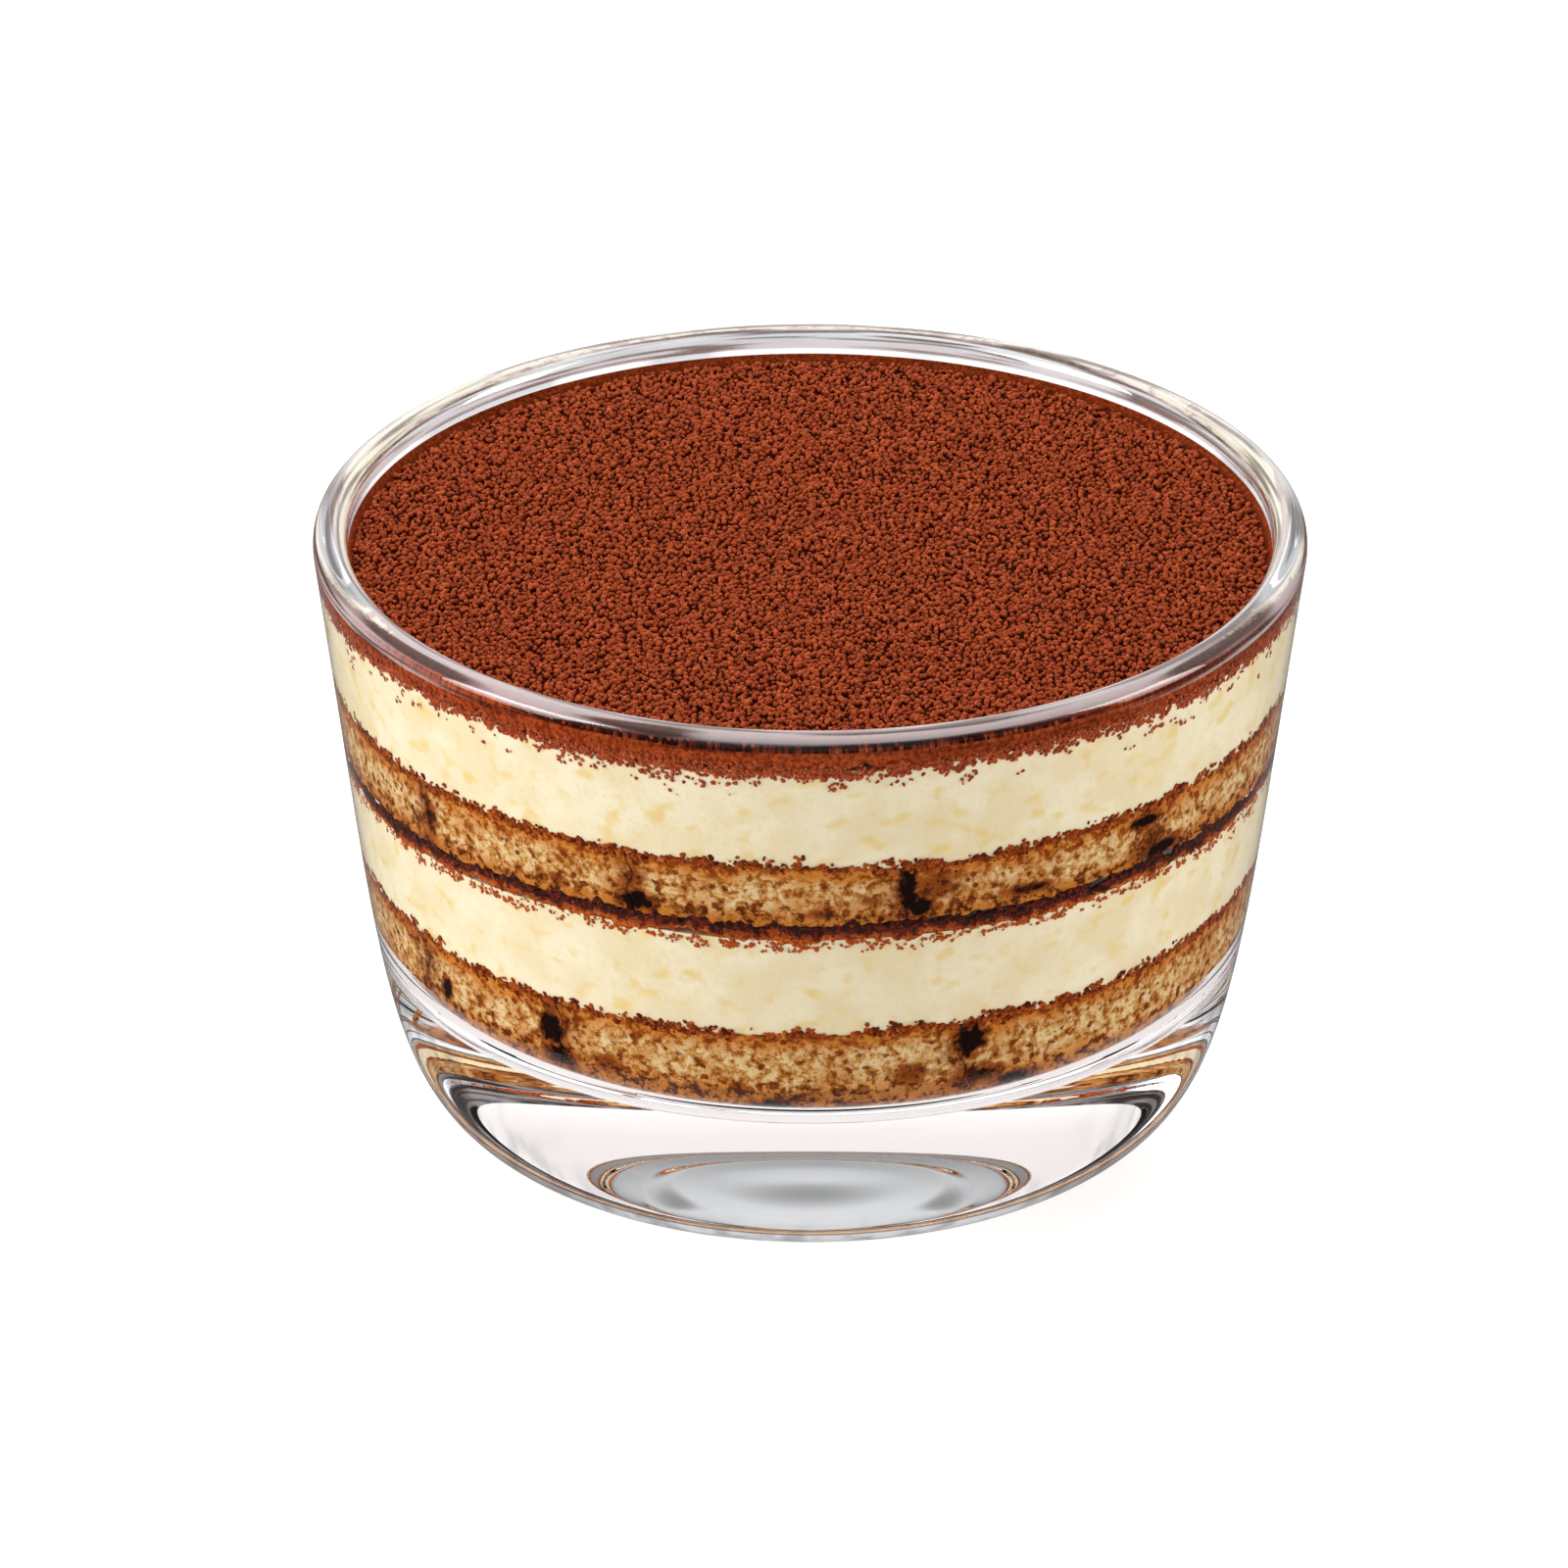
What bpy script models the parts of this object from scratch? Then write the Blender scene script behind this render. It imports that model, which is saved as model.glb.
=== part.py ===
"""A tiramisu in the clear glass bowl that it is made and served in.

The bowl is pressed glass with a heavy base, a tapering wall and a rounded lip.
Inside it, from the floor up, lie soaked sponge fingers, mascarpone cream, a thin
layer of coffee and cocoa, a second row of sponge fingers, cream again, and a
layer of sifted cocoa. The origin is the centre of the foot, +Z is up, and the
side that the layers are best seen from faces -Y.
"""

import math
import random

import bpy
from mathutils import geometry, Vector

MM = 0.001

# The glass bowl, in millimetres
RIM_RADIUS = 47.5
HEIGHT = 60.5
LIP_RADIUS = 1.65
WALL = 3.1
TAPER = math.radians(6.9)
SHOULDER_Z = 33.8
FOOT_RADIUS = 29.5
# How far the handles of the shoulder's curve reach, as shares of its height and width
WALL_HANDLE = 0.84
FOOT_HANDLE = 0.62
FLOOR_Z = 16.2
FLOOR_FILLET = 5.0
HOLLOW_RADIUS = 16.0
HOLLOW_DEPTH = 1.6
BOWL_SIDES = 72

# The heights on the wall where one layer ends and the next begins, in millimetres
LOWER_SPONGE_TOP = 27.5
LOWER_CREAM_TOP = 37.8
COFFEE_TOP = 39.6
UPPER_SPONGE_TOP = 46.1
UPPER_CREAM_TOP = 56.4
COCOA_TOP = 57.7

# How far each boundary rises and falls round the wall, in millimetres
WAVE = 0.45
# The clear space between neighbouring pieces, in millimetres
GAP = 0.34
# The angle between points on the wall, and the rings that a piece has over its height
ARC_STEP = math.radians(6)
LAYER_STEPS = 3
FINGER_STEPS = 5

# The cocoa's surface: the spacing of its points and how far they rise and fall, in
# millimetres
COCOA_SPACING = 2.3
COCOA_RELIEF = 0.28

# The sponge fingers lie side by side from front to back. A seam between two of them is
# given by its x, in millimetres, on the wall in front and on the wall behind.
UPPER_SEAMS = ((-34.7, -28.0), (-16.2, -10.0), (8.5, 12.0), (30.5, 32.0))
LOWER_SEAMS = ((-34.5, -20.0), (-22.5, 3.0), (14.0, 28.0))
SEAM_WIDTH = 0.9
FINGER_ROUNDING = 1.6
# The points on a finger's side, and how far the side bows in and out, in millimetres
SIDE_POINTS = 6
SIDE_BOW = 0.15


def clear_scene():
    for obj in list(bpy.data.objects):
        bpy.data.objects.remove(obj)


def material(name, colour, roughness, alpha=1.0, transmission=0.0):
    """A Principled material for one kind of surface."""
    made = bpy.data.materials.new(name)
    made.use_nodes = True
    shader = made.node_tree.nodes["Principled BSDF"]
    shader.inputs["Base Color"].default_value = (*colour, 1.0)
    shader.inputs["Roughness"].default_value = roughness
    shader.inputs["Metallic"].default_value = 0.0
    shader.inputs["Alpha"].default_value = alpha
    shader.inputs["Transmission Weight"].default_value = transmission
    shader.inputs["IOR"].default_value = 1.5
    return made


def add_object(name, points, faces, surface, smooth_angle):
    """One named object from points in millimetres, shaded smooth up to smooth_angle."""
    mesh = bpy.data.meshes.new(name)
    mesh.from_pydata([Vector(p) * MM for p in points], [], faces)
    mesh.validate()
    mesh.materials.append(surface)
    mesh.shade_smooth()
    mesh.set_sharp_from_angle(angle=smooth_angle)
    obj = bpy.data.objects.new(name, mesh)
    bpy.context.scene.collection.objects.link(obj)
    return obj


# The glass bowl


def wall_radius(z):
    """The outer radius of the straight, tapering part of the wall."""
    return RIM_RADIUS - math.tan(TAPER) * (HEIGHT - LIP_RADIUS - z)


def cavity_radius(z, inset=0.0):
    """The radius of the bowl's inside at height z, drawn in by inset all round.

    Above the fillet this is the tapering wall, and below it the fillet's arc.
    """
    wall = wall_radius(z) - WALL - inset / math.cos(TAPER)
    centre_z = FLOOR_Z + FLOOR_FILLET
    centre_r = wall_radius(centre_z) - WALL - FLOOR_FILLET / math.cos(TAPER)
    arc = FLOOR_FILLET - inset
    drop = centre_z - z
    if drop <= arc * math.sin(TAPER):
        return wall
    return centre_r + math.sqrt(max(arc * arc - drop * drop, 0.0))


def outer_profile():
    """Points (r, z) from the axis under the hollow, out over the foot and up the wall."""
    hollow = [
        (HOLLOW_RADIUS * s, HOLLOW_DEPTH * (1 - s * s) ** 1.5)
        for s in (0.0, 0.3, 0.55, 0.75, 0.9, 1.0)
    ]
    shoulder = Vector((wall_radius(SHOULDER_Z), SHOULDER_Z))
    foot = Vector((FOOT_RADIUS, 0.0))
    down = Vector((-math.sin(TAPER), -math.cos(TAPER)))
    curve = geometry.interpolate_bezier(
        foot,
        foot + Vector((FOOT_HANDLE * (shoulder.x - FOOT_RADIUS), 0.0)),
        shoulder + down * WALL_HANDLE * SHOULDER_Z,
        shoulder,
        14,
    )
    return hollow + [tuple(p) for p in curve]


def lip_profile(steps=8):
    """Points over the rounded lip, from the outer wall to the inner one."""
    middle_r = RIM_RADIUS - LIP_RADIUS
    middle_z = HEIGHT - LIP_RADIUS
    return [
        (
            middle_r + LIP_RADIUS * math.cos(math.pi * i / steps),
            middle_z + LIP_RADIUS * math.sin(math.pi * i / steps),
        )
        for i in range(steps + 1)
    ]


def inner_profile(steps=5):
    """Points down the inside wall, round the fillet and in to the middle of the floor."""
    centre_z = FLOOR_Z + FLOOR_FILLET
    centre_r = wall_radius(centre_z) - WALL - FLOOR_FILLET / math.cos(TAPER)
    below_lip = HEIGHT - 2.6 * LIP_RADIUS
    wall = [(cavity_radius(below_lip), below_lip)]
    first = -TAPER
    last = -math.pi / 2
    fillet = []
    for i in range(steps + 1):
        angle = first + (last - first) * i / steps
        fillet.append(
            (
                centre_r + FLOOR_FILLET * math.cos(angle),
                centre_z + FLOOR_FILLET * math.sin(angle),
            )
        )
    return wall + fillet + [(0.0, FLOOR_Z)]


def turned(profile, sides):
    """Points and faces of a profile of (r, z) turned once round the Z axis.

    A profile point with no radius becomes one point on the axis.
    """
    points = []
    rings = []
    for r, z in profile:
        start = len(points)
        count = sides if r > 1e-6 else 1
        for k in range(count):
            angle = 2 * math.pi * k / sides
            points.append((r * math.cos(angle), r * math.sin(angle), z))
        rings.append((start, count))
    faces = []
    for (a, na), (b, nb) in zip(rings, rings[1:]):
        for k in range(sides):
            ring = [
                a + k % na,
                a + (k + 1) % na,
                b + (k + 1) % nb,
                b + k % nb,
            ]
            faces.append(list(dict.fromkeys(ring)))
    return points, faces


def build_bowl(surface):
    profile = outer_profile() + lip_profile() + inner_profile()
    points, faces = turned(profile, BOWL_SIDES)
    return add_object("glass_bowl", points, faces, surface, math.radians(35))


# The filling


def boundary(level, seed):
    """A function of x and y for the height of one boundary between layers.

    It is level in the middle and rises and falls gently close to the wall.
    """

    def height(x, y):
        angle = math.atan2(y, x)
        share = min(math.hypot(x, y) / cavity_radius(level), 1.0)
        swell = (
            0.5 * math.sin(2 * angle + 1.9 * seed)
            + 0.3 * math.sin(5 * angle + 2.7 * seed)
            + 0.2 * math.sin(9 * angle + 0.8 * seed)
        )
        return level + WAVE * swell * share**4

    return height


class Seam:
    """The upright plane between two fingers, moved sideways by shift."""

    def __init__(self, ends, reach, shift):
        front_x, back_x = ends
        front = Vector((front_x, -math.sqrt(reach**2 - front_x**2)))
        back = Vector((back_x, math.sqrt(reach**2 - back_x**2)))
        self.along = (back - front).normalized()
        self.across = Vector((self.along.y, -self.along.x))
        self.middle = self.across * (front.dot(self.across) + shift)

    def half_length(self, radius):
        """Half of the seam's length inside a circle round the axis."""
        return math.sqrt(radius**2 - self.middle.length_squared)

    def end_angle(self, radius, towards):
        """The angle on the circle at the seam's back (1) or front (-1) end."""
        end = self.middle + self.along * self.half_length(radius) * towards
        return math.atan2(end.y, end.x)

    def side(self, radius, towards, phase):
        """Points between the seam's two ends, bowed a little, running back or forwards."""
        half = self.half_length(radius)
        points = []
        for i in range(1, SIDE_POINTS):
            share = (2 * i / SIDE_POINTS - 1) * towards
            bow = SIDE_BOW * math.sin(9 * share + phase)
            points.append(self.middle + self.along * half * share + self.across * bow)
        return points


def arc_angles(left, right, radius):
    """The start and end angles of the arcs that a piece shows on the wall.

    They run anticlockwise, the front one from the left seam to the right one. A piece
    with no seam at one side has one arc, and with no seam at all a whole circle.
    """
    if left is None and right is None:
        return [(0.0, 2 * math.pi)]
    if left is None:
        return [(right.end_angle(radius, 1), right.end_angle(radius, -1) % (2 * math.pi))]
    if right is None:
        return [(left.end_angle(radius, -1), left.end_angle(radius, 1))]
    front = (left.end_angle(radius, -1), right.end_angle(radius, -1))
    back = (right.end_angle(radius, 1), left.end_angle(radius, 1))
    return [front, back]


def outline(left, right, radius, counts, seed):
    """A piece's outline, anticlockwise, inside a circle of the given radius."""
    arcs = []
    for (start, end), count in zip(arc_angles(left, right, radius), counts):
        angles = [start + (end - start) * i / count for i in range(count + 1)]
        arcs.append([Vector((radius * math.cos(a), radius * math.sin(a))) for a in angles])
    if left is None and right is None:
        return arcs[0][:-1]
    made = arcs[0]
    if right is not None:
        made += right.side(radius, 1, seed)
    if len(arcs) > 1:
        made += arcs[1]
    if left is not None:
        made += left.side(radius, -1, seed + 1)
    return made


def ring_at(share, ends, levels, counts, seed):
    """The outline at a share of a piece's height, drawn in where its edges are round."""
    low, high = levels
    z = low + (high - low) * share
    edge = min(min(z - low, high - z) / FINGER_ROUNDING, 1.0)
    tuck = FINGER_ROUNDING * (1 - math.sqrt(1 - (1 - edge) ** 2))
    inset = SEAM_WIDTH / 2 + tuck
    reach = cavity_radius((low + high) / 2, GAP)
    left = Seam(ends[0], reach, inset) if ends[0] else None
    right = Seam(ends[1], reach, -inset) if ends[1] else None
    radius = cavity_radius(z, GAP)
    if counts is None:
        arcs = arc_angles(left, right, radius)
        counts = [max(3, round((b - a) / ARC_STEP)) for a, b in arcs]
    return outline(left, right, radius, counts, seed), counts


def flat_cap(points, start, count, height):
    """Closes a ring of points with a smaller ring and a middle point."""
    ring = [Vector(p) for p in points[start : start + count]]
    middle = sum(ring, Vector()) / count
    inner = len(points)
    for p in ring:
        spot = p.lerp(middle, 0.3)
        points.append((spot.x, spot.y, height(spot.x, spot.y)))
    points.append((middle.x, middle.y, height(middle.x, middle.y)))
    faces = []
    for k in range(count):
        after = (k + 1) % count
        faces.append([start + k, start + after, inner + after, inner + k])
        faces.append([inner + k, inner + after, inner + count])
    return faces


def lumpy_cap(points, start, count, height):
    """Closes a ring of points with an even field of small lumps."""
    draw = random.Random(7)
    rim = [Vector(p[:2]) for p in points[start : start + count]]
    reach = rim[0].length - 0.6 * COCOA_SPACING
    row_step = COCOA_SPACING * math.sqrt(3) / 2
    rows = int(reach / row_step)
    inside = []
    for row in range(-rows, rows + 1):
        shift = 0.5 * (row % 2)
        for column in range(-rows, rows + 1):
            spot = Vector(((column + shift) * COCOA_SPACING, row * row_step))
            if spot.length < reach:
                inside.append(spot)
    flat, _, faces, origins, _, _ = geometry.delaunay_2d_cdt(
        rim + inside, [], [list(range(count))], 1, 1e-6
    )
    index = {}
    for i, spot in enumerate(flat):
        if origins[i][0] < count:
            index[i] = start + origins[i][0]
        else:
            index[i] = len(points)
            lump = COCOA_RELIEF * draw.uniform(-1, 1)
            points.append((spot.x, spot.y, height(spot.x, spot.y) + lump))
    return [[index[i] for i in face] for face in faces]


def build_filling(name, levels, bottom, top, steps, surface, ends=(None, None), seed=0,
                  top_cap=flat_cap):
    """One piece of the filling, between two boundaries and the seams at its ends.

    levels are the plain heights of its two boundaries, and steps is the number of
    bands of faces on its side.
    """

    def under(x, y):
        return bottom(x, y) + GAP / 2

    def over(x, y):
        return top(x, y) - GAP / 2

    _, counts = ring_at(0.5, ends, levels, None, seed)
    points = []
    faces = []
    starts = []
    for i in range(steps + 1):
        # The rings are closer together near the top and bottom edges
        share = 0.5 - 0.5 * math.cos(math.pi * i / steps)
        starts.append(len(points))
        for spot in ring_at(share, ends, levels, counts, seed)[0]:
            z = under(*spot) + (over(*spot) - under(*spot)) * share
            inside = min(1.0, cavity_radius(z, GAP) / spot.length)
            points.append((spot.x * inside, spot.y * inside, z))
    count = len(points) - starts[-1]
    for a, b in zip(starts, starts[1:]):
        for k in range(count):
            after = (k + 1) % count
            faces.append([a + k, a + after, b + after, b + k])
    faces += [face[::-1] for face in flat_cap(points, starts[0], count, under)]
    faces += top_cap(points, starts[-1], count, over)
    return add_object(name, points, faces, surface, math.radians(50))


def build_row(row, seams, levels, bottom, top, surface):
    """A row of fingers laid side by side, numbered from left to right."""
    edges = (None,) + seams + (None,)
    for i, ends in enumerate(zip(edges, edges[1:])):
        name = f"{row}_finger_{i + 1}"
        build_filling(name, levels, bottom, top, FINGER_STEPS, surface, ends, i)


def main():
    clear_scene()
    glass = material("clear_glass", (0.95, 0.97, 0.97), 0.03, 0.35, 1.0)
    sponge = material("soaked_sponge", (0.42, 0.22, 0.08), 0.85)
    cream = material("mascarpone_cream", (0.83, 0.72, 0.48), 0.55)
    coffee = material("coffee_and_cocoa", (0.11, 0.03, 0.012), 0.35)
    cocoa = material("sifted_cocoa", (0.22, 0.05, 0.02), 0.95)

    heights = (
        FLOOR_Z + GAP / 2,
        LOWER_SPONGE_TOP,
        LOWER_CREAM_TOP,
        COFFEE_TOP,
        UPPER_SPONGE_TOP,
        UPPER_CREAM_TOP,
        COCOA_TOP,
    )
    # The coffee has the same waves above and below, and the floor and cocoa are level
    seeds = (None, 1, 2, 2, 4, 5, None)
    levels = list(zip(heights, heights[1:]))
    bounds = []
    for height, seed in zip(heights, seeds):
        level = (lambda x, y, z=height: z) if seed is None else boundary(height, seed)
        bounds.append(level)
    between = list(zip(levels, bounds, bounds[1:]))

    build_bowl(glass)
    build_row("lower", LOWER_SEAMS, *between[0], sponge)
    build_filling("lower_cream", *between[1], LAYER_STEPS, cream)
    build_filling("coffee_layer", *between[2], 1, coffee)
    build_row("upper", UPPER_SEAMS, *between[3], sponge)
    build_filling("upper_cream", *between[4], LAYER_STEPS, cream)
    build_filling("cocoa_top", *between[5], 1, cocoa, top_cap=lumpy_cap)


main()
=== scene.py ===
"""The finish of a tiramisu in its clear glass bowl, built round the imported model.

Lengths are in millimetres until a mesh is made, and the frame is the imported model's own:
the origin is the centre of the foot, +Z is up, and the front faces -Y.
"""

import math

import bmesh
import bpy
import numpy as np
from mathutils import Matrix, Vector, geometry, noise


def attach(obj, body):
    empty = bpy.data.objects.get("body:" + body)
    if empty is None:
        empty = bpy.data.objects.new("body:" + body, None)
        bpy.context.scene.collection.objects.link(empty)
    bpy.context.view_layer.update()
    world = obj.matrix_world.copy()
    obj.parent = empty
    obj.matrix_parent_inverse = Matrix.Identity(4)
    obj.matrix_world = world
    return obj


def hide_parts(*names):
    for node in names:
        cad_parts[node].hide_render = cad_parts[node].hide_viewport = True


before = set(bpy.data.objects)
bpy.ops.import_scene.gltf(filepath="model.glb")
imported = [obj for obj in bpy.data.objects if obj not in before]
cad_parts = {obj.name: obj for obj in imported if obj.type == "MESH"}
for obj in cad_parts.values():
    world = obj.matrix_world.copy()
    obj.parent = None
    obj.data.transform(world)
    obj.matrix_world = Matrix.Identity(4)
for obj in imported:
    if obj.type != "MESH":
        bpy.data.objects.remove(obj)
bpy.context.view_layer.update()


# The table and the light
# A pale table lit from all round, as for a picture on white: a soft light on the left, a
# weaker one on the right, and one above and behind. The walls of the studio are pale behind
# the bowl and darker at its sides, which gives the glass its dark edges.

MM = 0.001


class Wire:
    """A shader socket. Python sums with it add the Math nodes that they need."""

    def __init__(self, tree, socket):
        self.tree = tree
        self.socket = socket

    def math(self, operation, *values):
        sockets = dict(enumerate(values))
        return node(self.tree, "ShaderNodeMath", {"operation": operation}, sockets)

    def __add__(self, other):
        return self.math("ADD", self, other)

    def __sub__(self, other):
        return self.math("SUBTRACT", self, other)

    def __rsub__(self, other):
        return self.math("SUBTRACT", other, self)

    def __mul__(self, other):
        return self.math("MULTIPLY", self, other)

    __radd__ = __add__
    __rmul__ = __mul__


def node(tree, kind, settings=None, sockets=None, output=0):
    """One node of a tree: its settings, then values or wires for its sockets."""
    made = tree.nodes.new(kind)
    for name, value in (settings or {}).items():
        if name == "stops":
            ramp = made.color_ramp
            while len(ramp.elements) < len(value):
                ramp.elements.new(1.0)
            for element, (place, colour) in zip(ramp.elements, value):
                element.position = place
                element.color = (*colour, 1.0)
        else:
            setattr(made, name, value)
    for name, value in (sockets or {}).items():
        if isinstance(value, Wire):
            tree.links.new(value.socket, made.inputs[name])
        else:
            made.inputs[name].default_value = value
    return Wire(tree, made.outputs[output])


def step(value, low, high):
    """A wire that climbs smoothly from 0 at low to 1 at high."""
    settings = {"interpolation_type": "SMOOTHSTEP"}
    sockets = {"Value": value, "From Min": low, "From Max": high}
    return node(value.tree, "ShaderNodeMapRange", settings, sockets)


def linear(red, green, blue):
    """A colour for a shader from the 0 to 255 values of a picture."""
    shares = [value / 255 for value in (red, green, blue)]
    return [s / 12.92 if s <= 0.04045 else ((s + 0.055) / 1.055) ** 2.4 for s in shares]


def blend(share, first, second):
    """A wire between two colours: first where share is 0, and second where it is 1."""
    sockets = {"Factor": share}
    # Sockets 6 and 7 of a Mix node are its colours A and B
    for index, colour in ((6, first), (7, second)):
        sockets[index] = colour if isinstance(colour, Wire) else (*colour, 1.0)
    return node(share.tree, "ShaderNodeMix", {"data_type": "RGBA"}, sockets, 2)


class Finish:
    """A material's tree, with its Principled shader and its place in millimetres."""

    def __init__(self, name, **constants):
        self.material = bpy.data.materials.new(name)
        self.material.use_nodes = True
        self.tree = self.material.node_tree
        self.shader = self.tree.nodes["Principled BSDF"]
        for socket, value in constants.items():
            self.shader.inputs[socket.replace("_", " ")].default_value = value
        self.place = None

    def node(self, kind, settings=None, sockets=None, output=0):
        return node(self.tree, kind, settings, sockets, output)

    def spot(self, stretch=(1, 1, 1)):
        """The place on the piece, in millimetres, stretched along each axis."""
        if self.place is None:
            self.place = self.node("ShaderNodeTexCoord", output="Object")
        scale = tuple(value / MM for value in stretch)
        return self.node(
            "ShaderNodeVectorMath", {"operation": "MULTIPLY"}, {0: self.place, 1: scale}
        )

    def cloud(self, grain, detail=2.0, roughness=0.5, stretch=(1, 1, 1)):
        """Soft noise from 0 to 1 whose patches are about grain millimetres across."""
        sockets = {
            "Vector": self.spot(stretch),
            "Scale": 1 / grain,
            "Detail": detail,
            "Roughness": roughness,
        }
        return self.node("ShaderNodeTexNoise", None, sockets)

    def cells(self, grain):
        """The distance to the nearest of scattered points about grain apart."""
        sockets = {"Vector": self.spot(), "Scale": 1 / grain}
        return self.node("ShaderNodeTexVoronoi", {"feature": "F1"}, sockets)

    def measure(self, name):
        """A number that the mesh holds at each of its points."""
        return self.node("ShaderNodeAttribute", {"attribute_name": name}, output="Fac")

    def set(self, socket, value):
        self.tree.links.new(value.socket, self.shader.inputs[socket])

    def bump(self, height, depth):
        """Bumps from a height of 0 to 1, depth millimetres deep."""
        sockets = {"Height": height, "Distance": depth * MM, "Strength": 1.0}
        self.set("Normal", self.node("ShaderNodeBump", None, sockets))


def add_mesh(name, points, faces, finish, measures=None, sharp=None):
    """A piece from points in millimetres, with a number for each point in measures."""
    mesh = bpy.data.meshes.new(name)
    mesh.from_pydata((np.asarray(points) * MM).tolist(), [], faces)
    mesh.materials.append(finish.material)
    for label, values in (measures or {}).items():
        made = mesh.attributes.new(label, "FLOAT", "POINT")
        made.data.foreach_set("value", np.asarray(values, np.float32))
    mesh.shade_smooth()
    if sharp is not None:
        mesh.set_sharp_from_angle(angle=math.radians(sharp))
    piece = bpy.data.objects.new(name, mesh)
    bpy.context.scene.collection.objects.link(piece)
    return piece


TABLE_HALF = 3000.0
TABLE_GREY = (0.5, 0.5, 0.5, 1.0)
TABLE_GLOW = 0.76
WHITE = (1.0, 1.0, 1.0, 1.0)

table_finish = Finish(
    "white_table",
    Roughness=0.6,
    Base_Color=TABLE_GREY,
    Emission_Color=WHITE,
    Emission_Strength=TABLE_GLOW,
)
corners = [(x * TABLE_HALF, y * TABLE_HALF, 0.0) for x, y in ((-1, -1), (1, -1), (1, 1), (-1, 1))]
table = add_mesh("table", corners, [(0, 1, 2, 3)], table_finish)
# The glass doesn't mirror the table, so no haze lies over the filling
table.visible_glossy = False

# A white card under the foot stands in for the table, and shines up into the heavy base
CARD_RADIUS = 29.4
CARD_Z = 0.002
CARD_SIDES = 96
turns = [2 * math.pi * k / CARD_SIDES for k in range(CARD_SIDES)]
card_rim = [(CARD_RADIUS * math.cos(a), CARD_RADIUS * math.sin(a), CARD_Z) for a in turns]
card = add_mesh("card_under_foot", card_rim, [tuple(range(CARD_SIDES))], table_finish)


def soft_light(name, place, size, power):
    """A soft rectangular light, in metres and watts, that points at the dessert."""
    lamp = bpy.data.lights.new(name, "AREA")
    lamp.shape = "RECTANGLE"
    lamp.size, lamp.size_y = size
    lamp.energy = power
    made = bpy.data.objects.new(name, lamp)
    made.location = place
    aim = Vector((0.0, 0.0, 0.04)) - Vector(place)
    made.rotation_euler = aim.to_track_quat("-Z", "Y").to_euler()
    bpy.context.scene.collection.objects.link(made)
    return made


# The one behind lights the cocoa, and isn't seen in the glass or through it
back_lamp = soft_light("back_light", (0.0, 0.6, 0.95), (1.0, 0.5), 10.0)
back_lamp.visible_transmission = False
back_lamp.visible_glossy = False
soft_light("left_light", (-0.75, -0.25, 0.45), (0.5, 0.7), 5.7)
soft_light("right_light", (0.8, -0.1, 0.4), (0.4, 0.6), 3.1)

# The studio's light by direction: the most from behind, and less from the sides, from
# high up and from below
studio = bpy.data.worlds.new("studio")
studio.use_nodes = True
studio_tree = studio.node_tree
direction = node(studio_tree, "ShaderNodeTexCoord", output="Generated")
axes = node(studio_tree, "ShaderNodeSeparateXYZ", None, {0: direction}).socket.node
side, depth, height = (Wire(studio_tree, socket) for socket in axes.outputs)
side = side.math("ABSOLUTE", side)
low_in_front = (1 - step(depth, -0.5, 0.0)) * (1 - step(height, 0.4, 0.6))
from_behind = 0.23 + step(depth, -0.1, 0.5) * 0.62 + low_in_front * 0.12
faded = from_behind * (1 - step(height, 0.4, 0.6) * 0.6)
walls = faded * (1 - step(side, 0.3, 0.6) * (1 - step(height, 0.35, 0.75)) * 0.62)
wall_light = walls * (0.25 + step(height, -0.1, 0.05) * 0.75)
backdrop = studio_tree.nodes["Background"]
backdrop.inputs["Color"].default_value = WHITE
studio_tree.links.new(wall_light.socket, backdrop.inputs["Strength"])
bpy.context.scene.world = studio
bpy.context.scene.view_settings.view_transform = "Standard"

# The camera looks down on the bowl from the front, through a long lens
CAMERA_DISTANCE = 0.855
CAMERA_ELEVATION = math.radians(26.88)
LENS = 202.2
# The camera points this far to the left of the bowl's middle, and above it, in metres
AIM_LEFT = 0.0025
AIM_UP = 0.0018
BOWL_MIDDLE = Vector((0.0, 0.0, 0.03025))

camera = bpy.data.objects.new("camera", bpy.data.cameras.new("camera"))
camera.data.lens = LENS
away = Vector((0.0, -math.cos(CAMERA_ELEVATION), math.sin(CAMERA_ELEVATION)))
over = Vector((0.0, math.sin(CAMERA_ELEVATION), math.cos(CAMERA_ELEVATION)))
camera.location = BOWL_MIDDLE + away * CAMERA_DISTANCE
aim = BOWL_MIDDLE + Vector((-AIM_LEFT, 0.0, 0.0)) + over * AIM_UP
camera.rotation_euler = (aim - camera.location).to_track_quat("-Z", "Y").to_euler()
bpy.context.scene.collection.objects.link(camera)
bpy.context.scene.camera = camera


# The glass bowl
# Pressed clear glass with a heavy base: a hollow under the foot, a tapering wall and a
# fire-polished lip. Grey streaks round the lip and down the base are painted reflections,
# and the glass is painted grey where it is seen edge on, a painted shade.

RIM_RADIUS = 47.5
HEIGHT = 60.5
LIP_RADIUS = 1.65
WALL = 3.1
TAPER = math.radians(6.9)
SHOULDER_Z = 33.8
FOOT_RADIUS = 29.5
WALL_HANDLE = 0.84
FOOT_HANDLE = 0.62
FLOOR_Z = 16.2
FLOOR_FILLET = 5.0
HOLLOW_RADIUS = 16.0
# The hollow rises in four rounded steps: where each starts and ends, as shares of the
# hollow's radius, and how high it is
HOLLOW_STEPS = ((1.0, 0.86, 0.7), (0.82, 0.7, 0.4), (0.62, 0.5, 0.3), (0.4, 0.0, 0.2))
BOWL_SIDES = 320
# The outside is the base's below this height, and the wall's above it
BASE_TOP = 16.0
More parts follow.
